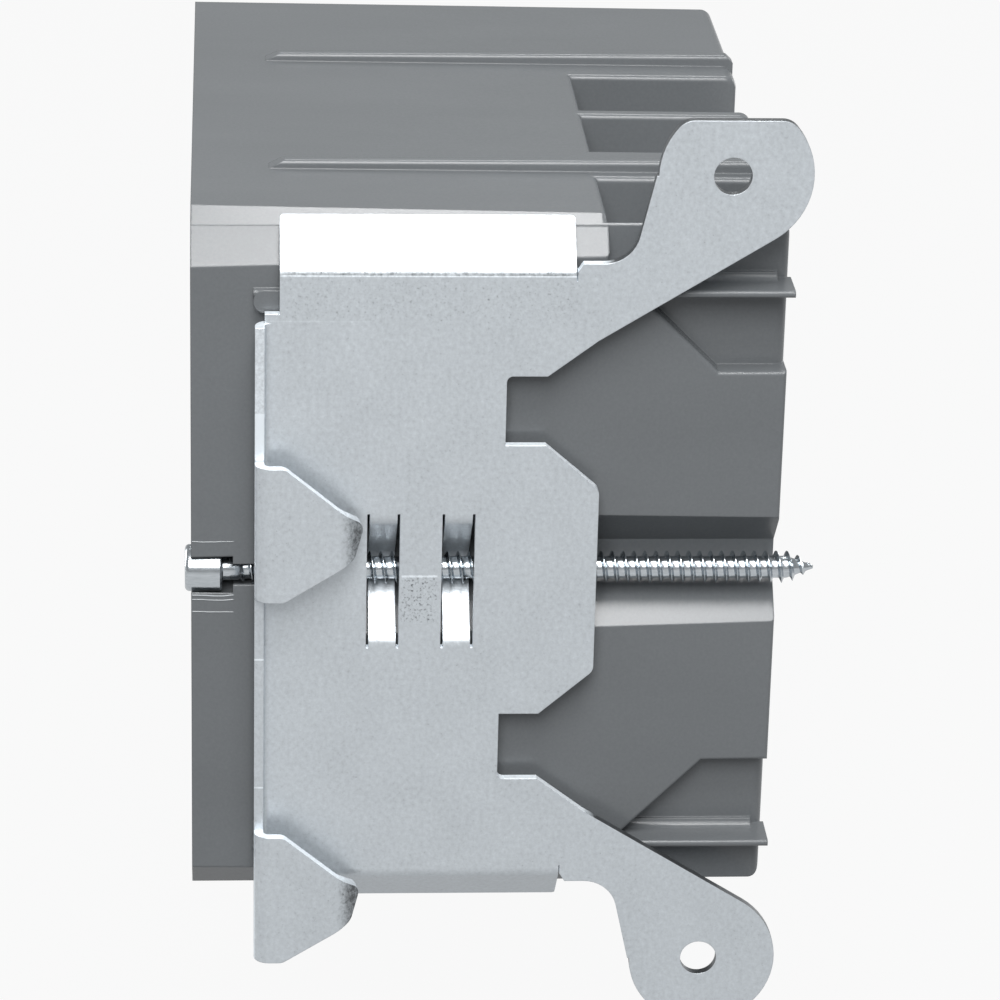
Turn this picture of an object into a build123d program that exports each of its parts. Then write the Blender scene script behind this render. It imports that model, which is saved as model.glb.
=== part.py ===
from build123d import *
import math
import os

# Adjustable-depth two-gang switch box: a moulded PVC box that slides in a folded
# sheet-steel stud bracket, and the long screw that sets how far the box stands proud.
# Millimetres. X points from the box to the stud, Y into the wall, Z up.
# The origin is on the stud face of the bracket, midway between its two nail holes.

# Box moulding
BOX_HEIGHT = 93.0
BOX_WIDTH = 100.0
BOX_DEPTH = 75.0
WALL = 2.0
WALL_DRAFT = 0.4
TOP_FALL = 1.1
TOP_FALL_RUN = 4.7
LONG_EDGE_RADIUS = 1.2
BACK_EDGE_RADIUS = 1.5

# Raised panel on the stud side of the box, lower at the back than at the front
PANEL_RISE = 4.0
PANEL_BACK_RISE = 2.4
PANEL_CHAMFER_FALL = 4.1
PANEL_LENGTH = 52.0
PANEL_LEDGE_HEIGHT = 27.0
PANEL_EDGE_RADIUS = 0.5

# Guide rails that the bracket runs on
RAIL_BELOW_TOP = 6.9
RAIL_THICKNESS = 0.9
RAIL_START = 7.8
RAIL_OVERHANG = 0.3
RAIL_ROOT_RADIUS = 0.6
RAIL_PAD_HEIGHT = 3.0
RAIL_PAD_LENGTH = 30.0
RAIL_PAD_NOSE = 1.4
RAIL_GAP = 0.3

# Ribs on the top and bottom walls, placed from the stud-side wall
RIB_PLACES = (21.0, 70.0)
RIB_START = 9.9
RIB_RISE = 1.0
RIB_WIDTH = 2.2
RIB_FRONT_SLOPE = 2.0
RIB_BACK_SLOPE = 1.0

# Cable-entry pockets in the top and bottom walls, placed from the stud-side wall
POCKET_PLACES = (1.6, 29.2, 47.7)
POCKET_WIDTH = 16.0
POCKET_START = 52.0
POCKET_DEPTH = 9.0
POCKET_WALL = 1.5
POCKET_RIM_RADIUS = 0.7
FLAP_SLIT = 0.8
FLAP_MARGIN = 1.2
FLAP_HINGE_FROM_BACK = 3.0

# Device screw bosses in the open front
GANG_SPACING = 46.04
DEVICE_SCREW_BELOW_TOP = 4.85
BOSS_RADIUS = 3.5
BOSS_LENGTH = 24.0
PILOT_RADIUS = 1.4
PILOT_DEPTH = 18.0

# Depth screw
SCREW_LENGTH = 80.5
HEAD_LENGTH = 4.7
HEAD_RADIUS = 3.15
HEAD_PROUD = 0.8
NECK_RADIUS = 1.6
NECK_LENGTH = 2.0
THREAD_RADIUS = 2.08
TIP_LENGTH = 4.4
TIP_RADIUS = 0.35
DRIVE_WIDTH = 1.0
DRIVE_SPAN = 4.4
DRIVE_DEPTH = 2.0

# Screw seat and screw channel in the side of the box
SCREW_DEPTH_IN_PANEL = 2.5
SEAT_CLEARANCE = 0.3
SEAT_LENGTH = 5.3
NECK_SLOT = 2.9
SEAT_BLOCK_HEIGHT = 9.8
CHANNEL_START = 13.0
CHANNEL_MOUTH = 17.8
CHANNEL_FLOOR = 4.6
CHANNEL_GAP = 0.45

# Folded sheet-steel bracket, placed from its front edge
SHEET = 1.2
SHEET_TO_PANEL = 1.0
BEND_RADIUS = 0.8
NAIL_SETBACK = 58.6
NAIL_SPACING = 108.0
NAIL_HOLE_RADIUS = 2.38
BOX_PROUD_AT_REST = 8.0
EAR_RADIUS = 9.6
EAR_SETBACK = 0.45
EAR_TOP_TO_NAIL = 7.1
EAR_TOP_CORNER = 2.5
ARM_LEAN = 12.8
ARM_SLOPE = 32.0
ARM_FOOT = 42.7
FOLD_ANGLE = 45.0
FOLD_LENGTH = 7.7
FOLD_CLEARANCE = 0.42
FOLD_START = 3.05
FOLD_END = 39.75
FOLD_CORNER = 0.5
ARM_INNER_RADIUS = 4.5
ARM_ROOT_SLIT = 0.12
ARM_ROOT_RUN = 0.7
ARM_ROOT_RISE = 1.1
NOTCH_DEEP = 31.4
NOTCH_MOUTH = 36.5
NOTCH_TOP = 27.75
NOTCH_BOTTOM = 18.5
NOTCH_CORNER = 0.8
TONGUE_END = 43.4
TONGUE_HEIGHT = 25.0
TONGUE_CORNER = 1.5
CORNER_RELIEF = 5.6
FRONT_LIP_RISE = 1.8
LIP_TOP_BELOW_FOLD = 6.8
LIP_BOTTOM_ABOVE_FOLD = 4.3

# Screw straps: two strips slit in the plate and pushed in behind the screw
STRAP_PLACES = (14.2, 23.7)
STRAP_SLOT = 4.15
STRAP_WIDTH = 3.5
STRAP_HEIGHT = 18.4
STRAP_FLAT = 1.5
STRAP_BEND = 1.6
STRAP_CLEARANCE = 0.15

# Stud tabs folded back over the plate from its front edge
UPPER_TAB_TOP = 16.9
LOWER_TAB_TOP_ABOVE_FOLD = 7.4
TAB_STANDOFF = 3.0
TAB_LENGTH = 13.2
TAB_HEIGHT = 18.1
TAB_CURL_LENGTH = 2.2
TAB_CURL_DROP = 2.0
TAB_SHOULDER = 3.7
TAB_CORNER = 1.6

# Places that follow from the sizes above
BRACKET_FRONT = -NAIL_SETBACK
BOX_FRONT = BRACKET_FRONT - BOX_PROUD_AT_REST
BOX_BACK = BOX_FRONT + BOX_DEPTH
PANEL_FACE = -SHEET - SHEET_TO_PANEL
SIDE_FACE = PANEL_FACE - PANEL_RISE
FAR_FACE = SIDE_FACE - BOX_WIDTH
MIDDLE = SIDE_FACE - BOX_WIDTH / 2
HALF_HEIGHT = BOX_HEIGHT / 2
SIDE_HALF_HEIGHT = HALF_HEIGHT - TOP_FALL
PANEL_HALF_HEIGHT = SIDE_HALF_HEIGHT - PANEL_CHAMFER_FALL
RAIL_HEIGHT = SIDE_HALF_HEIGHT - RAIL_BELOW_TOP
RAIL_FACE = -SHEET - RAIL_GAP
DEVICE_SCREW_HEIGHT = HALF_HEIGHT - DEVICE_SCREW_BELOW_TOP
SCREW_AXIS = PANEL_FACE - SCREW_DEPTH_IN_PANEL
STRAP_FACE = SCREW_AXIS - THREAD_RADIUS - STRAP_CLEARANCE
CHANNEL_FACE = STRAP_FACE - SHEET - CHANNEL_GAP
SEAT_RADIUS = HEAD_RADIUS + SEAT_CLEARANCE
NECK_BORE_RADIUS = THREAD_RADIUS + SEAT_CLEARANCE
FOLD_TURN = math.radians(FOLD_ANGLE)
FOLD_REACH = (FOLD_CLEARANCE - (-SHEET - SIDE_FACE) * math.cos(FOLD_TURN)) / math.sin(FOLD_TURN)
FOLD_HEIGHT = SIDE_HALF_HEIGHT + FOLD_REACH + SHEET * math.tan(FOLD_TURN / 2)
LIP_TOP = FOLD_HEIGHT - LIP_TOP_BELOW_FOLD
LIP_BOTTOM = LIP_BOTTOM_ABOVE_FOLD - FOLD_HEIGHT
TAB_TOPS = (UPPER_TAB_TOP, LOWER_TAB_TOP_ABOVE_FOLD - FOLD_HEIGHT)
PAST = 5.0


def behind_front(depth):
    """The Y of a place this far behind the front of the box."""
    return BOX_FRONT + depth


def behind_edge(length):
    """The Y of a place this far behind the front edge of the bracket."""
    return BRACKET_FRONT + length


def both_ways(solid):
    """A solid and its mirror image below the middle of the box."""
    return solid + mirror(solid, about=Plane.XY)


def prism_back(points, start, end):
    """An X-Z outline carried back from one Y to another."""
    outline = Plane.XZ.offset(-start) * make_face(Polyline(*points, close=True))
    return extrude(outline, amount=end - start, dir=(0, 1, 0))


def prism_out(outline, low, high):
    """A Y-Z outline carried from one X to another."""
    return extrude(Plane.YZ.offset(low) * outline, amount=high - low)


def cut_above(place, drift, start, end):
    """What lies above a top face that falls toward the back, and its mirror image below."""
    slope = drift / (end - start)
    outline = make_face(Polyline(
        (start - PAST, place + slope * PAST),
        (end + PAST, place - drift - slope * PAST),
        (end + PAST, place + 2 * PAST),
        (start - PAST, place + 2 * PAST),
        close=True,
    ))
    return both_ways(prism_out(outline, FAR_FACE - PAST, PAST))


def cut_beside(place, drift, start, end, outward):
    """What lies outside a slanted side face, on the stud side or on the far side."""
    slope = drift / (end - start)
    outline = make_face(Polyline(
        (place + outward * slope * PAST, start - PAST),
        (place - outward * (drift + slope * PAST), end + PAST),
        (place + outward * 2 * PAST, end + PAST),
        (place + outward * 2 * PAST, start - PAST),
        close=True,
    ))
    return extrude(Plane.XY.offset(-BOX_HEIGHT) * outline, amount=2 * BOX_HEIGHT)


def block(x_range, y_range, z_range):
    """A box between three pairs of limits."""
    spans = [sorted(pair) for pair in (x_range, y_range, z_range)]
    sizes = [high - low for low, high in spans]
    centre = [(high + low) / 2 for low, high in spans]
    return Pos(*centre) * Box(*sizes)


def rod(radius, x, z, start, end):
    """A round bar along Y."""
    return Pos(x, (start + end) / 2, z) * Rot(90, 0, 0) * Cylinder(radius, end - start)


def body_outline(inset):
    """The X-Z section of the box without its raised panel, moved in by an inset."""
    side = SIDE_FACE - inset
    far = FAR_FACE + inset
    top = HALF_HEIGHT - inset
    side_top = SIDE_HALF_HEIGHT - inset
    shoulder = SIDE_FACE - TOP_FALL_RUN - inset / 2
    upper = [(side, side_top), (shoulder, top), (far, top)]
    return upper + [(x, -z) for x, z in reversed(upper)]


def body_block(inset, start, end):
    """The main body, moved in by an inset, with walls that draw in toward the back."""
    drift = (end - start) * math.tan(math.radians(WALL_DRAFT))
    solid = prism_back(body_outline(inset), start, end)
    solid -= cut_above(HALF_HEIGHT - inset, drift, start, end)
    solid -= cut_beside(SIDE_FACE - inset, drift, start, end, 1)
    solid -= cut_beside(FAR_FACE + inset, drift, start, end, -1)
    long_edges = solid.edges().filter_by(lambda edge: abs(edge.tangent_at(0.5).Y) > 0.9)
    far_edges = long_edges.sort_by(Axis.X)[:2]
    return fillet(far_edges, LONG_EDGE_RADIUS)


def panel_outline(inset):
    """The X-Z section of the raised panel with its chamfered corners, moved in by a wall."""
    face = SIDE_FACE + PANEL_RISE - inset
    top = SIDE_HALF_HEIGHT - inset
    edge = PANEL_HALF_HEIGHT - inset * math.tan(math.atan2(PANEL_RISE, PANEL_CHAMFER_FALL) / 2)
    root = SIDE_FACE - WALL - PAST
    upper = [(face, edge), (face - (top - edge) * PANEL_RISE / PANEL_CHAMFER_FALL, top), (root, top)]
    return upper + [(x, -z) for x, z in reversed(upper)]


def panel_block(inset):
    """The raised panel, lower toward the back and cut away at its back corners."""
    start = BOX_FRONT - PAST if inset else BOX_FRONT
    solid = prism_back(panel_outline(inset), start, BOX_BACK - inset)
    face = SIDE_FACE + PANEL_RISE - inset
    solid -= cut_beside(face, PANEL_RISE - PANEL_BACK_RISE, BOX_FRONT, BOX_BACK, 1)
    cut_start = behind_front(PANEL_LENGTH) - inset * math.sqrt(2)
    ledge = PANEL_LEDGE_HEIGHT - inset
    corner = make_face(Polyline(
        (cut_start, BOX_HEIGHT),
        (cut_start, PANEL_HALF_HEIGHT),
        (cut_start + PANEL_HALF_HEIGHT - ledge, ledge),
        (BOX_BACK + PAST, ledge),
        (BOX_BACK + PAST, BOX_HEIGHT),
        close=True,
    ))
    return solid - both_ways(prism_out(corner, SIDE_FACE - WALL - 2 * PAST, PANEL_FACE + PAST))


def channel_outline(grow):
    """The X-Z section of the screw channel, grown by a wall."""
    slope = (CHANNEL_MOUTH - CHANNEL_FLOOR) / 2 / (PANEL_FACE - CHANNEL_FACE)
    side_grow = grow * (math.sqrt(1 + slope * slope) - slope)
    floor_half = CHANNEL_FLOOR / 2 + side_grow
    mouth_half = floor_half + slope * (PANEL_FACE + PAST - CHANNEL_FACE + grow)
    floor = CHANNEL_FACE - grow
    mouth = PANEL_FACE + PAST
    return [(mouth, mouth_half), (floor, floor_half), (floor, -floor_half), (mouth, -mouth_half)]


def pocket(place, grow):
    """One cable-entry recess in the top wall, grown by a wall."""
    x_range = (SIDE_FACE - place + grow, SIDE_FACE - place - POCKET_WIDTH - grow)
    y_range = (behind_front(POCKET_START) - grow, BOX_BACK + PAST)
    z_range = (HALF_HEIGHT - POCKET_DEPTH - grow, HALF_HEIGHT + PAST)
    return block(x_range, y_range, z_range)


def flap_slits(place):
    """The U-shaped slit that frees a clamp flap in the floor of a recess."""
    low = SIDE_FACE - place - POCKET_WIDTH + FLAP_MARGIN
    high = SIDE_FACE - place - FLAP_MARGIN
    front = behind_front(POCKET_START) + FLAP_MARGIN
    back = BOX_BACK - FLAP_HINGE_FROM_BACK
    top = HALF_HEIGHT - POCKET_DEPTH + FLAP_SLIT
    z_range = (top - POCKET_WALL - WALL, top)
    slit = block((low, high), (front, back), z_range)
    inner_y = (front + FLAP_SLIT, back + PAST)
    return slit - block((low + FLAP_SLIT, high - FLAP_SLIT), inner_y, z_range)


def rib(place):
    """A low rib that runs back along the top wall, its crest parallel to the slide."""
    centre = SIDE_FACE - place
    x_range = (centre - RIB_WIDTH / 2, centre + RIB_WIDTH / 2)
    y_range = (behind_front(RIB_START), BOX_BACK)
    solid = block(x_range, y_range, (HALF_HEIGHT - WALL, HALF_HEIGHT + RIB_RISE))
    top_edges = solid.edges().filter_by(Axis.Y).sort_by(Axis.Z)[-2:]
    solid = fillet(top_edges, RIB_RISE * 0.6)
    crest = HALF_HEIGHT + RIB_RISE
    for end, run in ((y_range[0], RIB_FRONT_SLOPE), (y_range[1], -RIB_BACK_SLOPE)):
        slope = make_face(Polyline((end, HALF_HEIGHT), (end + run, crest), (end, crest), close=True))
        solid -= prism_out(slope, *x_range)
    return solid


def rail():
    """A guide rail that starts as a thicker round-nosed pad near the front."""
    root = SIDE_FACE - WALL / 2
    start = behind_front(RAIL_START)
    low = RAIL_HEIGHT - RAIL_THICKNESS
    solid = block((root, RAIL_FACE), (start, BOX_BACK + RAIL_OVERHANG), (low, RAIL_HEIGHT))
    outer_edges = solid.edges().filter_by(Axis.Y).sort_by(Axis.X)[-2:]
    solid = fillet(outer_edges, RAIL_THICKNESS * 0.45)
    # The root of the rail behind the panel is rounded into the wall
    half = RAIL_ROOT_RADIUS + WALL_DRAFT
    foot_end = BOX_BACK - BACK_EDGE_RADIUS
    foot = block((root, SIDE_FACE + half), (start, foot_end), (low - half, RAIL_HEIGHT + half))
    for z in (low - half, RAIL_HEIGHT + half):
        foot -= rod(half, SIDE_FACE + half, z, start, BOX_BACK)
    pad_end = behind_front(RAIL_START + RAIL_PAD_LENGTH)
    pad = block((root, RAIL_FACE), (start, pad_end), (RAIL_HEIGHT - RAIL_PAD_HEIGHT, RAIL_HEIGHT))
    nose_corners = pad.edges().filter_by(Axis.X).sort_by(Axis.Y)[:2]
    pad = fillet(nose_corners, RAIL_PAD_NOSE)
    return solid + foot + pad


def boss(x, z):
    """A round boss for a device screw, joined to the wall beside it."""
    end = behind_front(BOSS_LENGTH)
    wall_side = math.copysign(HALF_HEIGHT - WALL / 2, z)
    solid = rod(BOSS_RADIUS, x, z, BOX_FRONT, end)
    return solid + block((x - BOSS_RADIUS, x + BOSS_RADIUS), (BOX_FRONT, end), (z, wall_side))


def pocket_rims(solid):
    """The long and front edges where the cable-entry recesses break the top and bottom walls."""
    start = behind_front(POCKET_START)

    def is_rim(edge):
        box = edge.bounding_box()
        high = abs(edge.center().Z) > SIDE_HALF_HEIGHT - 1
        inside = edge.center().X < SIDE_FACE - POCKET_PLACES[0] / 2 and box.min.Y > start - 0.5
        runs_back = box.size.Y > POCKET_WIDTH and box.size.X < 1
        runs_across = box.max.Y < start + 0.5 and box.size.X > 1
        return high and inside and (runs_back or runs_across)

    return solid.edges().filter_by(is_rim)


def make_box_body():
    """The whole box moulding."""
    outer = body_block(0, BOX_FRONT, BOX_BACK)
    back_edges = outer.faces().sort_by(Axis.Y)[-1].edges()
    outer = fillet(back_edges, BACK_EDGE_RADIUS)
    for place in POCKET_PLACES:
        outer -= both_ways(pocket(place, 0))
    outer = fillet(pocket_rims(outer), POCKET_RIM_RADIUS)

    panel = panel_block(0)
    face_edges = panel.faces().sort_by(Axis.X)[-1].edges()
    rounded_edges = face_edges.filter_by(lambda edge: edge.center().Y > BOX_FRONT + 0.1)
    outer += fillet(rounded_edges, PANEL_EDGE_RADIUS)
    channel_start = behind_front(CHANNEL_START)
    outer -= prism_back(channel_outline(0), channel_start, BOX_BACK + PAST)

    inner = body_block(WALL, BOX_FRONT - PAST, BOX_BACK - WALL)
    inner += panel_block(WALL)
    inner -= prism_back(channel_outline(WALL), channel_start - WALL, BOX_BACK + PAST)
    seat_half = SEAT_BLOCK_HEIGHT / 2
    seat_depth = SCREW_AXIS - SEAT_RADIUS - WALL
    inner -= block((seat_depth, PAST), (BOX_FRONT - 2 * PAST, channel_start), (-seat_half, seat_half))
    for place in POCKET_PLACES:
        inner -= both_ways(pocket(place, POCKET_WALL))

    for place in RIB_PLACES:
        outer += both_ways(rib(place))
    outer += both_ways(rail())
    solid = outer - inner

    for place in POCKET_PLACES:
        solid -= both_ways(flap_slits(place))

    for gang in (-1, 1):
        for side in (-1, 1):
            x = MIDDLE + gang * GANG_SPACING / 2
            z = side * DEVICE_SCREW_HEIGHT
            solid += boss(x, z)
            solid -= rod(PILOT_RADIUS, x, z, BOX_FRONT - PAST, behind_front(PILOT_DEPTH))

    solid -= rod(SEAT_RADIUS, SCREW_AXIS, 0, BOX_FRONT - PAST, behind_front(SEAT_LENGTH))
    solid -= rod(NECK_BORE_RADIUS, SCREW_AXIS, 0, BOX_FRONT, channel_start + 1)
    neck_half = NECK_SLOT / 2
    return solid - block((SCREW_AXIS, PAST), (BOX_FRONT, channel_start + 1), (-neck_half, neck_half))


def plate_outline():
    """The upper half of the flat plate with its ear, in Y and Z."""
    nail_height = NAIL_SPACING / 2
    lean = math.radians(ARM_LEAN)
    slope = math.radians(ARM_SLOPE)
    fold = FOLD_HEIGHT
    relief = behind_edge(FOLD_START)
    fold_end = behind_edge(FOLD_END)
    arm_start = fold_end + ARM_ROOT_SLIT
    arm_root = fold + ARM_ROOT_RISE
    lip = behind_edge(SHEET)
    mouth = behind_edge(NOTCH_MOUTH)
    deep = behind_edge(NOTCH_DEEP)
    foot = behind_edge(ARM_FOOT)
    tongue = behind_edge(TONGUE_END)
    # The arm leans forward and slopes up at the back, both sides tangent to the ear
    ear_front = EAR_SETBACK - EAR_RADIUS / math.cos(lean)
    root_front = ear_front - (nail_height - arm_root) * math.tan(lean)
    ear_below = nail_height - EAR_RADIUS / math.cos(slope)
    touch = EAR_RADIUS * math.sin(slope)
    arm_run = foot - EAR_SETBACK
    plate = make_face(FilletPolyline(
        (lip, 0),
        (lip, fold - CORNER_RELIEF),
        (relief, fold - CORNER_RELIEF),
        (relief, fold - SHEET),
        (fold_end, fold - SHEET),
        (arm_start, fold - SHEET),
        (arm_start, fold),
        (arm_start + ARM_ROOT_RUN, arm_root),
        (root_front, arm_root),
        (ear_front, nail_height),
        (EAR_SETBACK, nail_height),
        (EAR_SETBACK + touch, ear_below + touch * math.tan(slope)),
        (foot, ear_below + arm_run * math.tan(slope)),
        (mouth, NOTCH_TOP),
        (deep, NOTCH_TOP),
        (deep, NOTCH_BOTTOM),
        (mouth, NOTCH_BOTTOM),
        (tongue, TONGUE_HEIGHT / 2),
        (tongue, 0),
        radius=[0] * 8 + [ARM_INNER_RADIUS] + [0] * 5 + [NOTCH_CORNER, 0, 0, TONGUE_CORNER, 0],
        close=True,
    ))
    ear = Pos(EAR_SETBACK, nail_height) * Circle(EAR_RADIUS)
    head_height = nail_height + EAR_TOP_TO_NAIL - EAR_RADIUS
    head = Pos(EAR_SETBACK, head_height) * Rectangle(3 * EAR_RADIUS, 2 * EAR_RADIUS)
    ear &= head
    top_corners = ear.vertices().sort_by(Axis.Y)[-2:]
    return plate + fillet(top_corners, EAR_TOP_CORNER)


def edge_fold():
    """The upper edge of the plate, bent in over the chamfered corner of the box."""
    middle = -SHEET / 2
    fold = FOLD_HEIGHT - SHEET / 2 * math.tan(FOLD_TURN / 2)
    line = FilletPolyline(
        (middle, fold - 2 * SHEET),
        (middle, fold),
        (middle - FOLD_LENGTH * math.sin(FOLD_TURN), fold + FOLD_LENGTH * math.cos(FOLD_TURN)),
        radius=BEND_RADIUS + SHEET / 2,
    )
    section = Plane.XZ.offset(-behind_edge(FOLD_START)) * trace(line, line_width=SHEET)
    solid = extrude(section, amount=FOLD_END - FOLD_START, dir=(0, 1, 0))
    tip_edges = solid.faces().sort_by(Axis.Z)[-1].edges().sort_by(Axis.Y)
    return fillet([tip_edges[0], tip_edges[-1]], FOLD_CORNER)


def front_lip():
    """The front edge of the plate, turned out toward the stud."""
    line = FilletPolyline(
        (SHEET + BEND_RADIUS + SHEET, -SHEET / 2),
        (SHEET / 2, -SHEET / 2),
        (SHEET / 2, FRONT_LIP_RISE),
        radius=BEND_RADIUS + SHEET / 2,
    )
    section = trace(line, line_width=SHEET)
    plane = Plane(origin=(0, BRACKET_FRONT, LIP_BOTTOM), x_dir=(0, 1, 0), z_dir=(0, 0, -1))
    return extrude(plane * section, amount=LIP_BOTTOM - LIP_TOP)


def stud_tab(top):
    """A tab that stands out from the front edge, folds back and curls in at its tip."""
    reach = SHEET / 2 + TAB_STANDOFF
    line = FilletPolyline(
        (SHEET / 2, -SHEET),
        (SHEET / 2, reach),
        (TAB_LENGTH - TAB_CURL_LENGTH, reach),
        (TAB_LENGTH, reach - TAB_CURL_DROP),
        radius=[BEND_RADIUS + SHEET / 2, BEND_RADIUS + SHEET],
    )
    section = trace(line, line_width=SHEET)
    plane = Plane(origin=(0, BRACKET_FRONT, top), x_dir=(0, 1, 0), z_dir=(0, 0, -1))
    strip = extrude(plane * section, amount=TAB_HEIGHT)
    tip_top = top - TAB_HEIGHT * 0.46
    tip_bottom = top - TAB_HEIGHT * 0.69
    shape = make_face(FilletPolyline(
        (behind_edge(-PAST), top),
        (behind_edge(TAB_SHOULDER), top),
        (behind_edge(TAB_LENGTH + 0.6), tip_top),
        (behind_edge(TAB_LENGTH - 0.6), tip_bottom),
        (behind_edge(TAB_SHOULDER), top - TAB_HEIGHT),
        (behind_edge(-PAST), top - TAB_HEIGHT),
        radius=[0, TAB_CORNER, TAB_CORNER, TAB_CORNER, TAB_CORNER, 0],
        close=True,
    ))
    return strip & prism_out(shape, -PAST, 2 * PAST)


def strap(place):
    """A strip of the plate pushed in behind the screw."""
    middle = -SHEET / 2
    half = STRAP_HEIGHT / 2
    line = FilletPolyline(
        (middle, half + SHEET),
        (middle, half - STRAP_BEND / 2),
        (STRAP_FACE - SHEET / 2, STRAP_FLAT),
        (STRAP_FACE - SHEET / 2, -STRAP_FLAT),
        (middle, -half + STRAP_BEND / 2),
        (middle, -half - SHEET),
        radius=STRAP_BEND,
    )
    start = behind_edge(place) + (STRAP_SLOT - STRAP_WIDTH) / 2
    section = Plane.XZ.offset(-start) * trace(line, line_width=SHEET)
    return extrude(section, amount=STRAP_WIDTH, dir=(0, 1, 0))


def make_mounting_bracket():
    """The whole folded bracket."""
    solid = prism_out(plate_outline(), -SHEET, 0)
    solid = both_ways(solid) + both_ways(edge_fold()) + front_lip()
    for top in TAB_TOPS:
        solid += stud_tab(top)
    for place in STRAP_PLACES:
        y_range = (behind_edge(place), behind_edge(place + STRAP_SLOT))
        half = STRAP_HEIGHT / 2
        solid -= block((-SHEET - PAST, PAST), y_range, (-half, half))
        solid += strap(place)
    hole = Pos(-SHEET / 2, 0, NAIL_SPACING / 2) * Rot(0, 90, 0) * Cylinder(NAIL_HOLE_RADIUS, 2 * SHEET)
    return solid - both_ways(hole)


def make_depth_screw():
    """The screw: a round head with a cross recess, a plain neck, a shank and a pointed tip."""
    start = BOX_FRONT - HEAD_PROUD
    head_end = start + HEAD_LENGTH
    shank_start = head_end + NECK_LENGTH
    tip = start + SCREW_LENGTH
    profile = make_face(Polyline(
        (0, start),
        (HEAD_RADIUS - 0.4, start),
        (HEAD_RADIUS, start + 0.4),
        (HEAD_RADIUS, head_end),
        (NECK_RADIUS, head_end),
        (NECK_RADIUS, shank_start),
        (THREAD_RADIUS, shank_start + THREAD_RADIUS - NECK_RADIUS),
        (THREAD_RADIUS, tip - TIP_LENGTH),
        (TIP_RADIUS, tip),
        (0, tip),
        close=True,
    ))
    solid = Pos(SCREW_AXIS, 0, 0) * revolve(profile, Axis.Y)
    drive_y = (start - 1, start + DRIVE_DEPTH)
    half_width = DRIVE_WIDTH / 2
    half_span = DRIVE_SPAN / 2
    wide = (SCREW_AXIS - half_span, SCREW_AXIS + half_span)
    narrow = (SCREW_AXIS - half_width, SCREW_AXIS + half_width)
    solid -= block(wide, drive_y, (-half_width, half_width))
    return solid - block(narrow, drive_y, (-half_span, half_span))


os.makedirs("parts", exist_ok=True)
export_step(make_box_body(), "parts/box_body.step")
export_step(make_mounting_bracket(), "parts/mounting_bracket.step")
export_step(make_depth_screw(), "parts/depth_screw.step")
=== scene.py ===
import bpy
import bmesh
import math
from mathutils import Matrix, Vector


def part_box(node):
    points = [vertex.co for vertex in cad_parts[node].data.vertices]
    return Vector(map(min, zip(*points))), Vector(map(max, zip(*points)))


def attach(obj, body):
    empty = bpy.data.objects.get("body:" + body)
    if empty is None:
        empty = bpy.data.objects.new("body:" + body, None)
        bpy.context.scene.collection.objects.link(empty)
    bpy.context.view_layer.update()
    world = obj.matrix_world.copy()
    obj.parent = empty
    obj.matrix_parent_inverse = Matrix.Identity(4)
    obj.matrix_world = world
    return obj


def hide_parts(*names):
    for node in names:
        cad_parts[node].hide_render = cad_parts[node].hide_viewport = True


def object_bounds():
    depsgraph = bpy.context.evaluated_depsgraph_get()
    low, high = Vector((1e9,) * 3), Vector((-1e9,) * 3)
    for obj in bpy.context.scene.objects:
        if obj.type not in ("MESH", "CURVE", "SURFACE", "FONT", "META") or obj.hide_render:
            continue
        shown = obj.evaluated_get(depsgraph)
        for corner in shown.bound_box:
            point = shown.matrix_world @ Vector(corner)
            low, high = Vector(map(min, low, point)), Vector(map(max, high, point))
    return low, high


# Looks of an adjustable switch box: grey moulded plastic, galvanized bracket and a zinc screw, in metres
MM = 0.001

# Camera at the photograph's view, fitted to the outline of the box and the bracket
CAMERA_PLACE = Vector((506.767, -62.215, 216.021)) * MM
CAMERA_FORWARD = Vector((-0.92527, 0.06299, -0.37403))
CAMERA_RIGHT = Vector((0.05852, 0.99801, 0.02333))
FOCAL_LENGTH_PIXELS = 4345.85
PHOTO_WIDTH_PIXELS = 1000
SENSOR_WIDTH_MM = 36
CAMERA_REACH = (0.05, 20.0)

# Thread of the depth screw
THREAD_PITCH = 25.4 / 18 * MM
THREAD_HEIGHT = 0.66 * MM
THREAD_CREST = 0.06 * MM
THREAD_FLANK = 0.30 * MM
THREAD_FOOT_SHARE = 0.04
THREAD_MIDDLE_SHARE = 0.46
THREAD_ROOT_SPLIT = 0.45
THREAD_STEPS = 48
THREAD_RUN_OUT = 1.0 * MM
THREAD_RADIUS = 2.08 * MM
POINT_LENGTH = 3.4 * MM
POINT_RADIUS = 0.22 * MM
POINT_THREAD_GROWTH = 1.6

# Head, neck and cross recess of the depth screw
HEAD_LENGTH = 4.7 * MM
HEAD_EDGE = 0.55 * MM
HEAD_BACK_EDGE = 0.25 * MM
HEAD_INSIDE_CAD = 0.15 * MM
NECK_LENGTH = 2.0 * MM
NECK_RADIUS = 1.6 * MM
NECK_FILLET = 0.15 * MM
NECK_END_SLOPE = 0.3 * MM
DRIVE_DEPTH = 2.6 * MM
DRIVE_WIDTH = 1.1 * MM
DRIVE_SPAN = 4.4 * MM
DRIVE_ABOVE_HEAD = 0.5 * MM
DRIVE_SPAN_SHARES = (1.15, 0.16)
DRIVE_WIDTH_SHARES = (1.15, 0.3)
ROUND_STEPS = 96
RIM_STEPS = 6
MERGE_DISTANCE = 0.002 * MM
SMOOTH_BELOW_DEGREES = 38

# Looks of the plastic: greys as screen levels from 0 to 255, and sizes, edge radius and relief in mm
PLASTIC_GREYS = (101, 112)
PLASTIC_ROUGHNESS = (0.24, 0.27)
PLASTIC_CLOUD = 14
PLASTIC_MOTTLE = 0.4
PLASTIC_GRAIN = 0.16
PLASTIC_RELIEF = 0.012
PLASTIC_EDGE = 0.28

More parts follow.
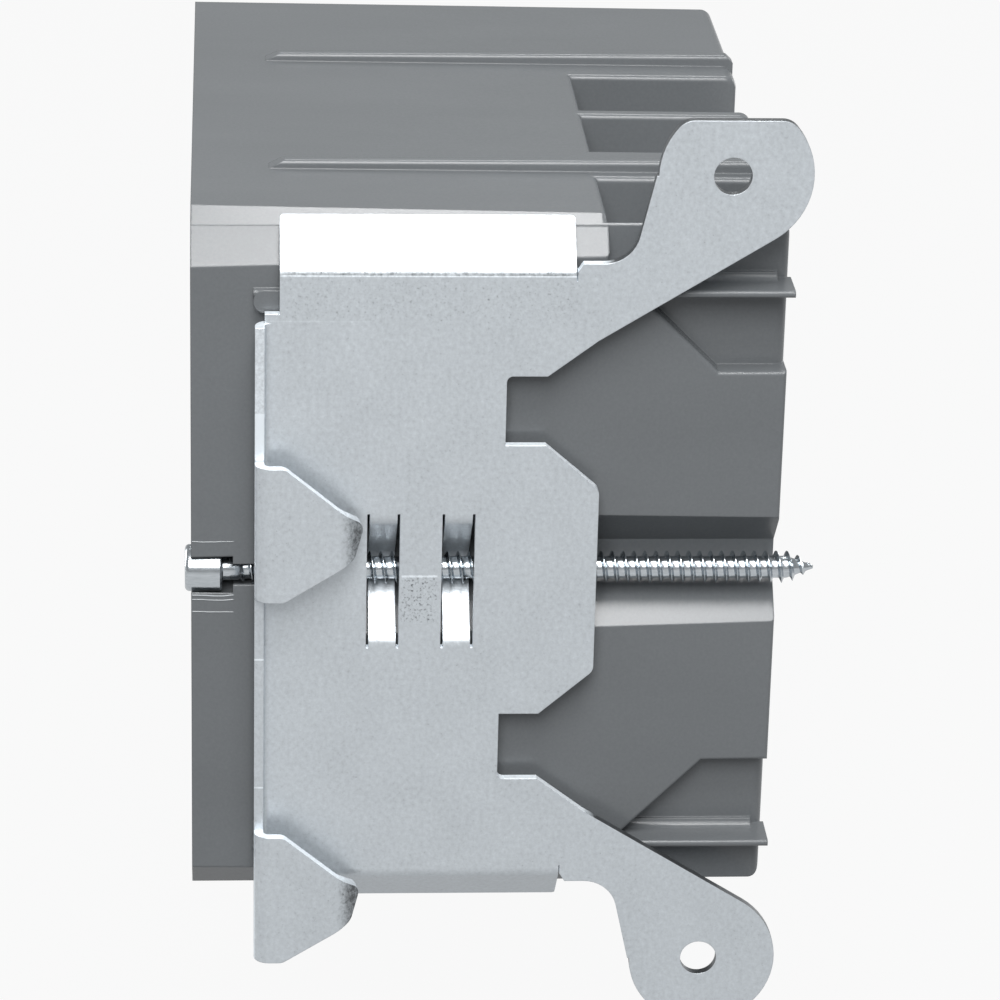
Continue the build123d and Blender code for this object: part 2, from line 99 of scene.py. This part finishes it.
# Flash lines of the mould round the screw's seat: heights with half widths, and ends along the depth, in mm
FLASH_LINES = ((4.7, 0.05), (-2.65, 0.07), (-3.25, 0.06), (-4.9, 0.06))
FLASH_ALONG = (-66.5, -61.2)
FLASH_FACE = -2.575
FLASH_WANDER = 0.4
FLASH_RELIEF = 0.1
# Grey of the painted highlight along the flash lines
FLASH_HIGHLIGHT_GREY = 168

# Looks of the galvanized sheet, with its greys placed along its tone
SHEET_GREYS = ((0.0, 95), (0.2, 165), (0.38, 200), (0.64, 215), (0.95, 250))
SHEET_ROUGHNESS = (0.34, 0.48)
SHEET_METALLIC = (0.66, 0.25)
SHEET_CLOUD = 7
SHEET_GRAIN = 0.6
SHEET_SPECK = 0.34
SHEET_RELIEF = 0.012
SHEET_MARK_RELIEF = 0.03
SHEET_EDGE = 0.16

# What the grain, the clouds and each mark of the sheet add to its tone, which runs from 0 to 1; the bright
# lines are painted highlights, and the tab nose, the back edges and the fold root get painted shade
GRAIN_TONE = 0.76
CLOUD_TONE = 0.24
BRIGHT_TONE = 0.45
SPECK_TONE = -0.16
RUBBED_TONE = -0.32
NOSE_SHADE_TONE = -0.42
BACK_EDGE_SHADE_TONE = -0.6
FOLD_ROOT_SHADE_TONE = -0.45

# Looks of the zinc plating
ZINC_GREYS = (196, 214)
ZINC_ROUGHNESS = (0.19, 0.26)
ZINC_LINE = 0.3
ZINC_RELIEF = 0.006

# Marks on the sheet, as heights and places along the depth in mm: rubbed patch, fold, lip, tab nose, edges;
# the fold, crease and lip lines carry painted highlights, the tab nose and the back edges painted shade
RUBBED_ALONG = (-40.0, -35.4)
RUBBED_HEIGHTS = (-5.7, 0.6)
FOLD_ALONG = (-55.5, -18.8)
FOLD_LINE = 40.86
LIP_ALONG = (-60.0, -57.35)
LIP_BRIGHT = (17.3, 34.6)
LIP_HIGHLIGHT_STEP = 23.4
LIP_HIGHLIGHT_LEVELS = (1.3, 0.6)
CREASE_ALONG = (-57.0, -44.0)
CREASE_LINE = 34.95
CREASE_HIGHLIGHT = 0.45
WORKED_ROUGHNESS = 0.35
LIP_TICKS = (-10.0, -28.0)
NOSE_ALONG = (-46.9, -44.0)
NOSE_FACE = 0.9
EDGE_SHADE_FROM = -15.0

# Lamps: name, direction from the box, distance, size, and power in watts
LAMPS = (
    ("key", (0.75, -0.10, 0.65), 1.0, (0.42, 0.48), 7.4),
    ("overhead", (0.397, 0.063, 0.915), 0.62, (0.24, 0.18), 2.1),
    ("rear", (-0.663, 0.063, 0.746), 0.62, (0.18, 0.14), 0.72),
    ("wall_fill", (-0.55, 0.83, 0.12), 1.0, (0.60, 0.60), 5.0),
    ("front_fill", (-0.50, -0.85, 0.15), 1.0, (0.60, 0.60), 5.0),
)
LAMP_TARGET = Vector((-0.01, -0.03, 0.0))

# Floor and room
FLOOR_DROP = 0.05
FLOOR_HALF_WIDTH = 4.0
FLOOR_COLOUR = (0.18, 0.185, 0.19)
FLOOR_WHITENESS = 0.93
FLOOR_REFLECTED = 0.62
ROOM_LIGHT = 0.3
ROOM_LIGHT_COLOUR = (0.93, 0.97, 1.0)
ROOM_REFLECTED = 0.36
ROOM_REFLECTED_COLOUR = (0.97, 0.99, 1.0)

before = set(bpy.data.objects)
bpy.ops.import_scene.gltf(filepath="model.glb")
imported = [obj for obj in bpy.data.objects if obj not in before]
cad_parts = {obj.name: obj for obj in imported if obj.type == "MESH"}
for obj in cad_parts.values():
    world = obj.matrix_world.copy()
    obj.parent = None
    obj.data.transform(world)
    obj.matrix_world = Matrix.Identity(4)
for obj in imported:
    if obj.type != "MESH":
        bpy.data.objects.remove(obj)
cad_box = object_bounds()


def new_object(name, mesh):
    """Links a mesh to the scene as a named object."""
    piece = bpy.data.objects.new(name, mesh)
    bpy.context.scene.collection.objects.link(piece)
    return piece


class Nodes:
    """A short way to build a node material."""

    def __init__(self, name):
        self.material = bpy.data.materials.new(name)
        self.material.use_nodes = True
        self.tree = self.material.node_tree
        self.tree.nodes.clear()
        self.output = self.tree.nodes.new("ShaderNodeOutputMaterial")
        self.place = self.tree.nodes.new("ShaderNodeTexCoord").outputs["Object"]

    def add(self, kind, **settings):
        """A node with its settings: names of its own, or of its input sockets."""
        node = self.tree.nodes.new(kind)
        for key, value in settings.items():
            if hasattr(node, key):
                setattr(node, key, value)
            else:
                node.inputs[key.replace("_", " ")].default_value = value
        return node

    def link(self, source, target):
        """Joins an output to an input."""
        self.tree.links.new(source, target)

    def stretched(self, scale):
        """The object's own coordinates, scaled along each axis."""
        node = self.add("ShaderNodeVectorMath", operation="MULTIPLY")
        self.link(self.place, node.inputs[0])
        node.inputs[1].default_value = scale
        return node.outputs[0]

    def noise(self, size_mm, detail=2.0, roughness=0.5, stretch=(1, 1, 1)):
        """Noise whose features are about size_mm across, drawn out along the stretch."""
        node = self.add("ShaderNodeTexNoise", Scale=1.0, Detail=detail, Roughness=roughness)
        scale = [1 / (size_mm * MM * part) for part in stretch]
        self.link(self.stretched(scale), node.inputs["Vector"])
        return node.outputs["Fac"]

    def ramp(self, value, *stops):
        """A colour ramp over (position, colour) stops."""
        node = self.tree.nodes.new("ShaderNodeValToRGB")
        points = node.color_ramp.elements
        while len(points) < len(stops):
            points.new(0.5)
        for point, (position, colour) in zip(points, stops):
            point.position = position
            point.color = (*colour, 1.0)
        self.link(value, node.inputs["Fac"])
        return node.outputs["Color"]

    def span(self, value, low, high, to_low, to_high):
        """A value mapped from one span to another."""
        node = self.add("ShaderNodeMapRange", clamp=True)
        for name, number in zip(("From Min", "From Max", "To Min", "To Max"), (low, high, to_low, to_high)):
            node.inputs[name].default_value = number
        self.link(value, node.inputs["Value"])
        return node.outputs["Result"]

    def axis(self, name):
        """One of the object's own coordinates, in metres."""
        split = self.add("ShaderNodeSeparateXYZ")
        self.link(self.place, split.inputs[0])
        return split.outputs[name]

    def between(self, value, low_mm, high_mm, soft_mm):
        """One inside a stretch of an axis and nothing outside it, with soft ends."""
        rise = self.span(value, (low_mm - soft_mm) * MM, (low_mm + soft_mm) * MM, 0, 1)
        fall = self.span(value, (high_mm - soft_mm) * MM, (high_mm + soft_mm) * MM, 1, 0)
        return self.math("MULTIPLY", rise, fall)

    def patch(self, y_span, z_span, soft_mm):
        """One on a patch of the side, between two places along the depth and two heights."""
        across = self.between(self.axis("Y"), *y_span, soft_mm)
        return self.math("MULTIPLY", across, self.between(self.axis("Z"), *z_span, soft_mm))

    def line(self, y_span, height_mm, half_mm, soft_mm):
        """One on a thin level line of the side."""
        return self.patch(y_span, (height_mm - half_mm, height_mm + half_mm), soft_mm)

    def step(self, name, place_mm, soft_mm, before, after):
        """A value before a place along an axis and another after it, with a soft change."""
        return self.span(self.axis(name), (place_mm - soft_mm) * MM, (place_mm + soft_mm) * MM, before, after)

    def math(self, operation, first, second):
        """Two values, or a value and a number, combined."""
        node = self.add("ShaderNodeMath", operation=operation)
        self.link(first, node.inputs[0])
        if isinstance(second, (int, float)):
            node.inputs[1].default_value = second
        else:
            self.link(second, node.inputs[1])
        return node.outputs[0]

    def total(self, *parts):
        """The sum of (value, weight) parts."""
        result = None
        for value, weight in parts:
            part = self.math("MULTIPLY", value, weight)
            result = part if result is None else self.math("ADD", result, part)
        return result

    def bump(self, height, distance_mm, strength=1.0, normal=None):
        """Normals bent by a height, on top of other normals where they are given."""
        node = self.add("ShaderNodeBump", Strength=strength, Distance=distance_mm * MM)
        self.link(height, node.inputs["Height"])
        if normal is not None:
            self.link(normal, node.inputs["Normal"])
        return node.outputs["Normal"]

    def rounded(self, radius_mm):
        """Normals that round the sharp edges by a small radius."""
        node = self.add("ShaderNodeBevel", samples=6)
        node.inputs["Radius"].default_value = radius_mm * MM
        return node.outputs["Normal"]

    def sheared(self):
        """One on the cut edges of the sheet, which face along it, and nothing on its faces."""
        split = self.add("ShaderNodeSeparateXYZ")
        self.link(self.add("ShaderNodeTexCoord").outputs["Normal"], split.inputs[0])
        sideways = self.add("ShaderNodeMath", operation="ABSOLUTE")
        self.link(split.outputs["X"], sideways.inputs[0])
        return self.span(sideways.outputs[0], 0.25, 0.45, 1, 0)

    def surface(self, colour, roughness, normal, metallic=None, **settings):
        """The finished material."""
        shader = self.add("ShaderNodeBsdfPrincipled", **settings)
        if metallic is not None:
            self.link(metallic, shader.inputs["Metallic"])
        self.link(colour, shader.inputs["Base Color"])
        self.link(roughness, shader.inputs["Roughness"])
        self.link(normal, shader.inputs["Normal"])
        self.link(shader.outputs["BSDF"], self.output.inputs["Surface"])
        return self.material


def grey(level):
    """A neutral linear grey from a 0 to 255 screen level, a little cool as in the photograph."""
    linear = (level / 255) ** 2.2
    return (linear * 0.94, linear * 1.0, linear * 1.05)


def moulded_plastic():
    """Satin grey PVC with a fine mottle, the grain of the mould, faint streaks and thin flash lines lightened
    by a painted highlight.
    """
    nodes = Nodes("moulded_plastic")
    broad = nodes.noise(PLASTIC_CLOUD, 3.0, 0.55, (1, 3, 1))
    grain = nodes.noise(PLASTIC_GRAIN, 2.0, 0.6)
    wander = nodes.math("MULTIPLY", nodes.noise(1.6, 1.0, 0.5, (1, 2, 1)), FLASH_WANDER * MM)
    height = nodes.math("ADD", nodes.axis("Z"), wander)
    flash = None
    for level, half in FLASH_LINES:
        line = nodes.between(height, level - half, level + half, 0.05)
        flash = line if flash is None else nodes.math("MAXIMUM", flash, line)
    near_front = nodes.between(nodes.axis("Y"), *FLASH_ALONG, 0.1)
    outer = nodes.step("X", FLASH_FACE, 0.025, 0, 1)
    flash = nodes.math("MULTIPLY", flash, nodes.math("MULTIPLY", near_front, outer))
    fine = nodes.noise(PLASTIC_MOTTLE, 2.0, 0.6)
    mottle = nodes.total((broad, 0.5), (fine, 0.5))
    darker, lighter = PLASTIC_GREYS
    tone = nodes.ramp(mottle, (0.2, grey(darker)), (0.8, grey(lighter)))
    # The flash lines are lightened towards one grey: a painted highlight on the raised lines
    colour = nodes.add("ShaderNodeMixRGB")
    nodes.link(flash, colour.inputs[0])
    nodes.link(tone, colour.inputs[1])
    colour.inputs[2].default_value = (*grey(FLASH_HIGHLIGHT_GREY), 1)
    roughness = nodes.span(broad, 0.15, 0.85, *PLASTIC_ROUGHNESS)
    normal = nodes.bump(grain, PLASTIC_RELIEF, 0.5, nodes.rounded(PLASTIC_EDGE))
    return nodes.surface(colour.outputs[0], roughness, nodes.bump(flash, FLASH_RELIEF, 0.7, normal))


def painted_highlights(nodes):
    """The bright marks of the sheet, painted highlights: the rubbed patch's crease, the fold and bend lines,
    and the lip.
    """
    crease = nodes.patch(RUBBED_ALONG, (RUBBED_HEIGHTS[1] - 0.05, RUBBED_HEIGHTS[1] + 0.25), 0.08)
    fold_line = nodes.line(FOLD_ALONG, FOLD_LINE, 0.07, 0.06)
    bent_line = nodes.math("MULTIPLY", nodes.line(CREASE_ALONG, CREASE_LINE, 0.06, 0.1), CREASE_HIGHLIGHT)
    # The lip is painted brighter below one height: a painted highlight
    shine = nodes.step("Z", LIP_HIGHLIGHT_STEP, 0.1, *LIP_HIGHLIGHT_LEVELS)
    lip = nodes.math("MULTIPLY", nodes.patch(LIP_ALONG, LIP_BRIGHT, 0.12), shine)
    for height in LIP_TICKS:
        lip = nodes.math("MAXIMUM", lip, nodes.line(LIP_ALONG, height, 0.12, 0.06))
    lines = nodes.math("MAXIMUM", crease, nodes.math("MAXIMUM", fold_line, bent_line))
    return nodes.math("ADD", lines, lip)


def galvanized_sheet():
    """Hot-dip zinc with a fine mottled grain, soft clouds, tiny specks and a rubbed patch, with painted
    highlights on its bright marks and painted shade on the tab nose, the fold root and the back edges.
    """
    nodes = Nodes("galvanized_sheet")
    cloud = nodes.noise(SHEET_CLOUD, 3.0, 0.55)
    grain = nodes.noise(SHEET_GRAIN, 3.0, 0.7)
    speck = nodes.noise(SHEET_SPECK, 1.0, 0.5)
    rubbed = nodes.patch(RUBBED_ALONG, RUBBED_HEIGHTS, 0.35)
    worked = nodes.patch(FOLD_ALONG, (CREASE_LINE, FOLD_LINE), 0.8)
    # Painted shade in a thin band at the root of the fold
    fold_root_shade = nodes.patch(FOLD_ALONG, (FOLD_LINE + 0.2, FOLD_LINE + 0.55), 0.3)
    # Painted highlights on the sheet's bright lines and lip
    bright = painted_highlights(nodes)
    # Painted shade darkens the bent nose of the tab
    nose = nodes.math("MULTIPLY", nodes.between(nodes.axis("Y"), *NOSE_ALONG, 1.0),
                      nodes.step("X", NOSE_FACE + 0.15, 0.15, 0, 1))
    edge = nodes.sheared()
    # Cut edges towards the back of the sheet are darkened with painted shade, in place of the lighter
    # cut-edge colour
    back_edge_shade = nodes.math("MULTIPLY", edge, nodes.step("Y", EDGE_SHADE_FROM, 1.0, 0, 1))
    cut = nodes.math("SUBTRACT", edge, back_edge_shade)
    spots = nodes.span(speck, 0.70, 0.78, 0, 1)
    rough = nodes.math("MAXIMUM", rubbed, nodes.math("MULTIPLY", worked, WORKED_ROUGHNESS))
    rough_spots = nodes.math("MULTIPLY", nodes.span(speck, 0.52, 0.66, 0, 1), rough)
    toned = nodes.total(
        (grain, GRAIN_TONE),
        (cloud, CLOUD_TONE),
        (nodes.math("MAXIMUM", bright, cut), BRIGHT_TONE),
        (spots, SPECK_TONE),
        (rough_spots, RUBBED_TONE),
        (nose, NOSE_SHADE_TONE),
        (back_edge_shade, BACK_EDGE_SHADE_TONE),
        (fold_root_shade, FOLD_ROOT_SHADE_TONE),
    )
    colour = nodes.ramp(toned, *((place, grey(level)) for place, level in SHEET_GREYS))
    roughness = nodes.span(grain, 0.3, 0.7, *SHEET_ROUGHNESS)
    pits = nodes.math("MULTIPLY", speck, nodes.math("ADD", nodes.math("MULTIPLY", rubbed, 4.0), 0.3))
    normal = nodes.bump(grain, SHEET_RELIEF, 0.4, nodes.rounded(SHEET_EDGE))
    normal = nodes.bump(nodes.math("ADD", pits, bright), SHEET_MARK_RELIEF, 0.5, normal)
    metallic = nodes.span(cut, 0, 1, *SHEET_METALLIC)
    return nodes.surface(colour, roughness, normal, metallic)


def zinc_plate():
    """Bright zinc plating with faint drawn lines along the screw."""
    nodes = Nodes("zinc_plate")
    lines = nodes.noise(ZINC_LINE, 3.0, 0.6, (1, 6, 1))
    darker, lighter = ZINC_GREYS
    colour = nodes.ramp(lines, (0.3, grey(darker)), (0.7, grey(lighter)))
    roughness = nodes.span(lines, 0.3, 0.7, *ZINC_ROUGHNESS)
    normal = nodes.bump(lines, ZINC_RELIEF, 0.4)
    return nodes.surface(colour, roughness, normal, Metallic=1.0)


def thread_profile():
    """One turn of the thread: (offset along the screw, share of the thread's height) points."""
    crest = THREAD_CREST / 2
    root = (THREAD_PITCH - THREAD_CREST - 2 * THREAD_FLANK) / 2
    return [
        (-crest - THREAD_FLANK - root, 0.0),
        (-crest - THREAD_FLANK - root * THREAD_ROOT_SPLIT, 0.0),
        (-crest - THREAD_FLANK, THREAD_FOOT_SHARE),
        (-crest - THREAD_FLANK / 2, THREAD_MIDDLE_SHARE),
        (-crest, 1.0),
        (crest, 1.0),
        (crest + THREAD_FLANK / 2, THREAD_MIDDLE_SHARE),
        (crest + THREAD_FLANK, THREAD_FOOT_SHARE),
        (crest + THREAD_FLANK + root * THREAD_ROOT_SPLIT, 0.0),
    ]


def add_thread(mesh, axis_x, start, tip, outer):
    """A right-hand thread from start to the pointed tip, as one closed helical sheet."""
    profile = thread_profile()
    root_radius = outer - THREAD_HEIGHT
    turns = math.ceil((tip - start) / THREAD_PITCH) + 2
    columns = []
    for step in range(THREAD_STEPS):
        turn = 2 * math.pi * step / THREAD_STEPS
        column = []
        for count in range(-1, turns):
            for offset, share in profile:
                y = start + (count + step / THREAD_STEPS) * THREAD_PITCH + offset
                y = min(max(y, start), tip)
                to_tip = min(1.0, (tip - y) / POINT_LENGTH)
                grown = min(1.0, max(0.0, (y - start) / THREAD_RUN_OUT))
                core = POINT_RADIUS + (root_radius - POINT_RADIUS) * to_tip
                height = THREAD_HEIGHT * share * grown * min(1.0, to_tip * POINT_THREAD_GROWTH)
                radius = core + height
                point = (axis_x + radius * math.sin(turn), y, radius * math.cos(turn))
                column.append(mesh.verts.new(point))
        columns.append(column)
    for step in range(THREAD_STEPS):
        here = columns[step]
        last = step == THREAD_STEPS - 1
        beside = columns[0][len(profile):] if last else columns[step + 1]
        for row in range(min(len(here), len(beside)) - 1):
            mesh.faces.new((here[row], here[row + 1], beside[row + 1], beside[row]))


def add_turned(mesh, axis_x, outline):
    """A closed solid of revolution about the screw's axis, from (y, radius) points."""
    turns = [2 * math.pi * step / ROUND_STEPS for step in range(ROUND_STEPS)]
    rings = []
    for y, radius in outline:
        if radius == 0:
            points = [(axis_x, y, 0)]
        else:
            points = [(axis_x + radius * math.sin(turn), y, radius * math.cos(turn)) for turn in turns]
        rings.append([mesh.verts.new(point) for point in points])
    for near, far in zip(rings, rings[1:]):
        for step in range(ROUND_STEPS):
            corners = [near[step % len(near)], near[(step + 1) % len(near)],
                       far[(step + 1) % len(far)], far[step % len(far)]]
            mesh.faces.new(list(dict.fromkeys(corners)))


def head_outline(start, radius, root_radius):
    """The (y, radius) outline of the head and neck, with a rounded rim."""
    end = start + HEAD_LENGTH
    front = []
    for step in reversed(range(RIM_STEPS + 1)):
        turn = math.radians(90 * step / RIM_STEPS)
        front.append((start + HEAD_EDGE * (1 - math.sin(turn)), radius - HEAD_EDGE * (1 - math.cos(turn))))
    back = [(end - HEAD_BACK_EDGE, radius), (end, radius - HEAD_BACK_EDGE)]
    neck = [(end, NECK_RADIUS + NECK_FILLET), (end + NECK_FILLET, NECK_RADIUS)]
    neck_end = end + NECK_LENGTH
    return [(start, 0)] + front + back + neck + [
        (neck_end, NECK_RADIUS),
        (neck_end + NECK_END_SLOPE, root_radius),
        (neck_end + 2 * NECK_END_SLOPE, root_radius * 0.9),
        (neck_end + 2 * NECK_END_SLOPE, 0),
    ]


def cut_drive(piece, axis_x, start):
    """Cuts the tapered cross recess into the head."""
    cutter = bmesh.new()
    for turn in (0, 90):
        part = bmesh.ops.create_cube(cutter, size=1.0)["verts"]
        for vert in part:
            deep = vert.co.y > 0
            wide = DRIVE_SPAN * DRIVE_SPAN_SHARES[deep]
            thick = DRIVE_WIDTH * DRIVE_WIDTH_SHARES[deep]
            along = DRIVE_DEPTH if deep else -DRIVE_ABOVE_HEAD
            vert.co = Vector((vert.co.x * wide, along, vert.co.z * thick))
        bmesh.ops.rotate(cutter, verts=part, matrix=Matrix.Rotation(math.radians(turn), 3, "Y"))
    bmesh.ops.translate(cutter, verts=cutter.verts, vec=(axis_x, start, 0))
    mesh = bpy.data.meshes.new("drive_cutter")
    cutter.to_mesh(mesh)
    cutter.free()
    tool = new_object("drive_cutter", mesh)
    cut = piece.modifiers.new("drive", "BOOLEAN")
    cut.operation = "DIFFERENCE"
    cut.solver = "EXACT"
    cut.use_self = True
    cut.object = tool
    bpy.context.view_layer.update()
    shaped = bpy.data.meshes.new_from_object(piece.evaluated_get(bpy.context.evaluated_depsgraph_get()))
    piece.modifiers.clear()
    piece.data = shaped
    bpy.data.objects.remove(tool)


def make_screw():
    """The depth screw with its thread, point, neck and round head."""
    low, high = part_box("depth_screw")
    axis_x = (low.x + high.x) / 2
    start, tip = low.y, high.y
    head_radius = (high.x - low.x) / 2 - HEAD_INSIDE_CAD
    outer = THREAD_RADIUS
    shank_start = start + HEAD_LENGTH + NECK_LENGTH
    head = bmesh.new()
    add_turned(head, axis_x, head_outline(start, head_radius, outer - THREAD_HEIGHT))
    bmesh.ops.recalc_face_normals(head, faces=head.faces)
    head_mesh = bpy.data.meshes.new("screw_head")
    head.to_mesh(head_mesh)
    head.free()
    piece = new_object("threaded_screw", head_mesh)
    cut_drive(piece, axis_x, start)
    whole = bmesh.new()
    whole.from_mesh(piece.data)
    add_thread(whole, axis_x, shank_start, tip, outer)
    bmesh.ops.remove_doubles(whole, verts=whole.verts, dist=MERGE_DISTANCE)
    bmesh.ops.dissolve_degenerate(whole, edges=whole.edges, dist=MERGE_DISTANCE)
    bmesh.ops.holes_fill(whole, edges=whole.edges, sides=ROUND_STEPS)
    bmesh.ops.recalc_face_normals(whole, faces=whole.faces)
    whole.to_mesh(piece.data)
    whole.free()
    piece.data.shade_smooth()
    piece.data.set_sharp_from_angle(angle=math.radians(SMOOTH_BELOW_DEGREES))
    return piece


def dress(node, material):
    """Gives a CAD node its material."""
    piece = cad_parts[node]
    piece.data.materials.clear()
    piece.data.materials.append(material)


def add_camera():
    """The photograph's camera: a long lens a little above the box, with no shift."""
    camera = bpy.data.cameras.new("camera")
    camera.sensor_width = SENSOR_WIDTH_MM
    camera.lens = FOCAL_LENGTH_PIXELS / PHOTO_WIDTH_PIXELS * SENSOR_WIDTH_MM
    camera.clip_start, camera.clip_end = CAMERA_REACH
    holder = bpy.data.objects.new("camera", camera)
    back = -CAMERA_FORWARD.normalized()
    right = CAMERA_RIGHT.normalized()
    up = back.cross(right).normalized()
    turn = Matrix((right, up, back)).transposed()
    holder.matrix_world = Matrix.Translation(CAMERA_PLACE) @ turn.to_4x4()
    bpy.context.scene.collection.objects.link(holder)
    bpy.context.scene.camera = holder


def add_lamp(name, direction, distance, size, power):
    """A soft rectangular lamp that faces the box from a direction."""
    lamp = bpy.data.lights.new(name, "AREA")
    lamp.shape = "RECTANGLE"
    lamp.size, lamp.size_y = size
    lamp.energy = power
    holder = bpy.data.objects.new(name, lamp)
    aim = Vector(direction).normalized()
    holder.location = LAMP_TARGET + aim * distance
    holder.rotation_euler = (-aim).to_track_quat("-Z", "Y").to_euler()
    bpy.context.scene.collection.objects.link(holder)


def indirect_view(tree):
    """One for rays that leave a shiny or a clear surface, and nothing for the rest."""
    path = tree.nodes.new("ShaderNodeLightPath")
    either = tree.nodes.new("ShaderNodeMath")
    either.operation = "MAXIMUM"
    tree.links.new(path.outputs["Is Glossy Ray"], either.inputs[0])
    tree.links.new(path.outputs["Is Transmission Ray"], either.inputs[1])
    return either.outputs[0]


def add_world():
    """A pale room: white to the camera, pale in reflections and softer as light."""
    world = bpy.data.worlds.new("white_room")
    bpy.context.scene.world = world
    world.use_nodes = True
    tree = world.node_tree
    tree.nodes.clear()
    path = tree.nodes.new("ShaderNodeLightPath")
    light = tree.nodes.new("ShaderNodeBackground")
    light.inputs["Color"].default_value = (*ROOM_LIGHT_COLOUR, 1)
    light.inputs["Strength"].default_value = ROOM_LIGHT
    pale = tree.nodes.new("ShaderNodeBackground")
    pale.inputs["Color"].default_value = (*ROOM_REFLECTED_COLOUR, 1)
    pale.inputs["Strength"].default_value = ROOM_REFLECTED
    white = tree.nodes.new("ShaderNodeBackground")
    white.inputs["Color"].default_value = (1, 1, 1, 1)
    white.inputs["Strength"].default_value = 1.0
    shine = tree.nodes.new("ShaderNodeMixShader")
    mix = tree.nodes.new("ShaderNodeMixShader")
    output = tree.nodes.new("ShaderNodeOutputWorld")
    tree.links.new(indirect_view(tree), shine.inputs[0])
    tree.links.new(light.outputs[0], shine.inputs[1])
    tree.links.new(pale.outputs[0], shine.inputs[2])
    tree.links.new(path.outputs["Is Camera Ray"], mix.inputs[0])
    tree.links.new(shine.outputs[0], mix.inputs[1])
    tree.links.new(white.outputs[0], mix.inputs[2])
    tree.links.new(mix.outputs[0], output.inputs[0])


def add_floor():
    """A pale floor well below the box, which hangs from its bracket as on a stud."""
    mesh = bpy.data.meshes.new("floor")
    half = FLOOR_HALF_WIDTH
    level = cad_box[0][2] - FLOOR_DROP
    mesh.from_pydata([(-half, -half, level), (half, -half, level), (half, half, level), (-half, half, level)],
                     [], [(0, 1, 2, 3)])
    floor = new_object("floor", mesh)
    material = bpy.data.materials.new("floor")
    material.use_nodes = True
    tree = material.node_tree
    shader = tree.nodes["Principled BSDF"]
    shader.inputs["Base Color"].default_value = (*FLOOR_COLOUR, 1)
    shader.inputs["Roughness"].default_value = 0.9
    path = tree.nodes.new("ShaderNodeLightPath")
    shown = tree.nodes.new("ShaderNodeMath")
    shown.operation = "MULTIPLY"
    shown.inputs[1].default_value = FLOOR_REFLECTED
    tree.links.new(indirect_view(tree), shown.inputs[0])
    seen = tree.nodes.new("ShaderNodeMath")
    seen.operation = "MULTIPLY_ADD"
    seen.inputs[1].default_value = FLOOR_WHITENESS
    tree.links.new(path.outputs["Is Camera Ray"], seen.inputs[0])
    tree.links.new(shown.outputs[0], seen.inputs[2])
    white = tree.nodes.new("ShaderNodeEmission")
    white.inputs["Strength"].default_value = 1.0
    mix = tree.nodes.new("ShaderNodeMixShader")
    tree.links.new(seen.outputs[0], mix.inputs[0])
    tree.links.new(shader.outputs[0], mix.inputs[1])
    tree.links.new(white.outputs[0], mix.inputs[2])
    tree.links.new(mix.outputs[0], tree.nodes["Material Output"].inputs["Surface"])
    mesh.materials.append(material)


dress("box_body", moulded_plastic())
dress("mounting_bracket", galvanized_sheet())
screw = make_screw()
screw.data.materials.clear()
screw.data.materials.append(zinc_plate())
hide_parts("depth_screw")
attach(screw, "screw")

add_camera()
add_world()
add_floor()
for name, direction, distance, size, power in LAMPS:
    add_lamp(name, direction, distance, size, power)
bpy.context.scene.view_settings.view_transform = "Standard"
